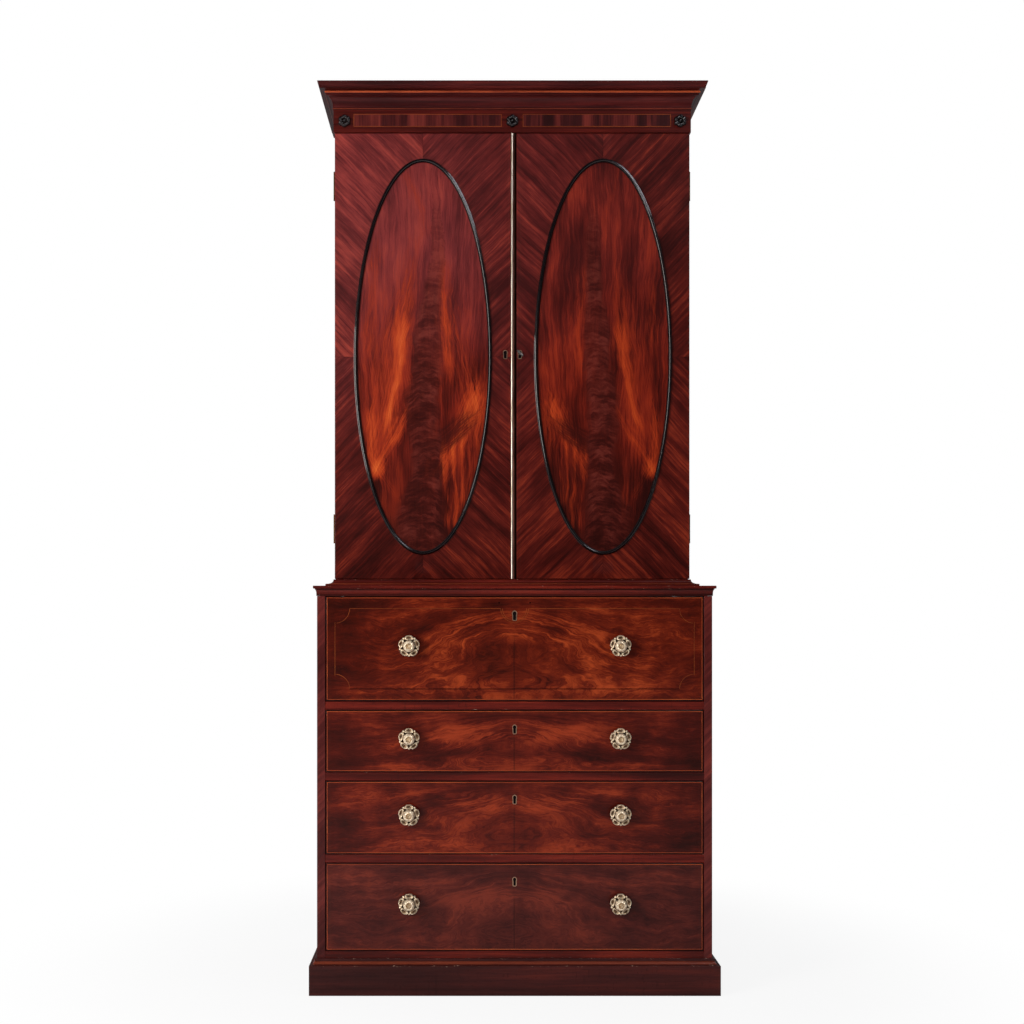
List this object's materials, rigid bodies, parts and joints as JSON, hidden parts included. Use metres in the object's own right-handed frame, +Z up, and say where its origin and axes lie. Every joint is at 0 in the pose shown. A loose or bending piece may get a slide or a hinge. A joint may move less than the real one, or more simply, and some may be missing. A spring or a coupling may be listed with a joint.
{
  "type": "secretaire bookcase",
  "caption": "Tall mahogany secretaire bookcase: oval-panelled cupboard doors above a drop-front writing drawer and long drawers with cast brass rosette knobs.",
  "frame": {"origin": "on the floor, under the middle of the bounding box", "axes": "+Z up, the front faces -Y, +X is to the right of someone who faces the front"},
  "size_m": [1.004, 0.568, 2.29],
  "materials": {
    "mahogany": "French polished solid mahogany",
    "crossbanding": "French polished crossbanded mahogany veneer",
    "striped_veneer": "French polished striped mahogany veneer, laid in quarters",
    "flame_veneer": "French polished flame figured mahogany veneer",
    "ebonised_wood": "polished ebonised wood",
    "lining_oak": "unpolished old oak",
    "boxwood": "polished boxwood stringing",
    "writing_leather": "worn dark green leather",
    "cast_brass": "cast and chased, softly polished",
    "hinge_brass": "dull, aged",
    "key_steel": "dark, worn bright on its edges"
  },
  "bodies": {
    "case": {"plinth": "mahogany", "lower_side_left": "mahogany", "lower_side_right": "mahogany", "lower_bottom_board": "mahogany", "lower_back_board": "lining_oak", "lower_top_board": "mahogany", "drawer_divider_lower": "mahogany", "drawer_divider_middle": "mahogany", "drawer_divider_upper": "mahogany", "waist_moulding": "mahogany", "upper_side_left": "mahogany", "upper_side_right": "mahogany", "upper_bottom_board": "mahogany", "upper_top_board": "mahogany", "upper_back_board": "lining_oak", "shelf_lower": "mahogany", "shelf_upper": "mahogany", "frieze": "crossbanding", "cornice": "mahogany", "roundel_left": "ebonised_wood", "roundel_centre": "ebonised_wood", "roundel_right": "ebonised_wood", "left_lower_hinge_case_leaf": "hinge_brass", "left_upper_hinge_case_leaf": "hinge_brass", "right_lower_hinge_case_leaf": "hinge_brass", "right_upper_hinge_case_leaf": "hinge_brass"},
    "left_door": {"left_door_board": "striped_veneer", "left_door_oval_panel": "flame_veneer", "left_door_oval_bead": "ebonised_wood", "door_astragal": "cast_brass", "left_lower_hinge_door_leaf": "hinge_brass", "left_upper_hinge_door_leaf": "hinge_brass"},
    "right_door": {"right_door_board": "striped_veneer", "right_door_oval_panel": "flame_veneer", "right_door_oval_bead": "ebonised_wood", "right_lower_hinge_door_leaf": "hinge_brass", "right_upper_hinge_door_leaf": "hinge_brass"},
    "key": {"door_key": "key_steel"},
    "secretaire_drawer": {"secretaire_box": "lining_oak", "pigeonholes": "mahogany"},
    "fall": {"fall_front": "flame_veneer", "fall_knob_left": "cast_brass", "fall_knob_right": "cast_brass", "fall_quadrant_left": "hinge_brass", "fall_quadrant_right": "hinge_brass"},
    "left_small_drawer": {"small_drawer_left": "mahogany"},
    "right_small_drawer": {"small_drawer_right": "mahogany"},
    "top_drawer": {"top_drawer_front": "flame_veneer", "top_drawer_box": "lining_oak", "top_drawer_knob_left": "cast_brass", "top_drawer_knob_right": "cast_brass"},
    "middle_drawer": {"middle_drawer_front": "flame_veneer", "middle_drawer_box": "lining_oak", "middle_drawer_knob_left": "cast_brass", "middle_drawer_knob_right": "cast_brass"},
    "bottom_drawer": {"bottom_drawer_front": "flame_veneer", "bottom_drawer_box": "lining_oak", "bottom_drawer_knob_left": "cast_brass", "bottom_drawer_knob_right": "cast_brass"}
  },
  "joints": [
    {"name": "left_door_hinge", "type": "hinge", "parent": "case", "child": "left_door", "pos_m": [-0.4604, -0.0424, 1.594], "axis": [0, 0, -1], "range_deg": [0, 165]},
    {"name": "right_door_hinge", "type": "hinge", "parent": "case", "child": "right_door", "pos_m": [0.4604, -0.0424, 1.594], "axis": [0, 0, 1], "range_deg": [0, 165]},
    {"name": "key_turn", "type": "hinge", "parent": "right_door", "child": "key", "pos_m": [0.01975, -0.066, 1.598], "axis": [0, 1, 0], "range_deg": [-45, 135]},
    {"name": "secretaire_slide", "type": "slide", "parent": "case", "child": "secretaire_drawer", "axis": [0, -1, 0], "range_m": [0, 0.3]},
    {"name": "fall_hinge", "type": "hinge", "parent": "secretaire_drawer", "child": "fall", "pos_m": [0, -0.218, 0.736], "axis": [1, 0, 0], "range_deg": [0, 90]},
    {"name": "left_small_drawer_slide", "type": "slide", "parent": "secretaire_drawer", "child": "left_small_drawer", "axis": [0, -1, 0], "range_m": [0, 0.12]},
    {"name": "right_small_drawer_slide", "type": "slide", "parent": "secretaire_drawer", "child": "right_small_drawer", "axis": [0, -1, 0], "range_m": [0, 0.12]},
    {"name": "top_drawer_slide", "type": "slide", "parent": "case", "child": "top_drawer", "axis": [0, -1, 0], "range_m": [0, 0.35]},
    {"name": "middle_drawer_slide", "type": "slide", "parent": "case", "child": "middle_drawer", "axis": [0, -1, 0], "range_m": [0, 0.35]},
    {"name": "bottom_drawer_slide", "type": "slide", "parent": "case", "child": "bottom_drawer", "axis": [0, -1, 0], "range_m": [0, 0.35]}
  ],
  "couplings": [
    {"joint": "fall_hinge", "follows": "secretaire_slide", "rad_per_m": 5.2359}
  ]
}
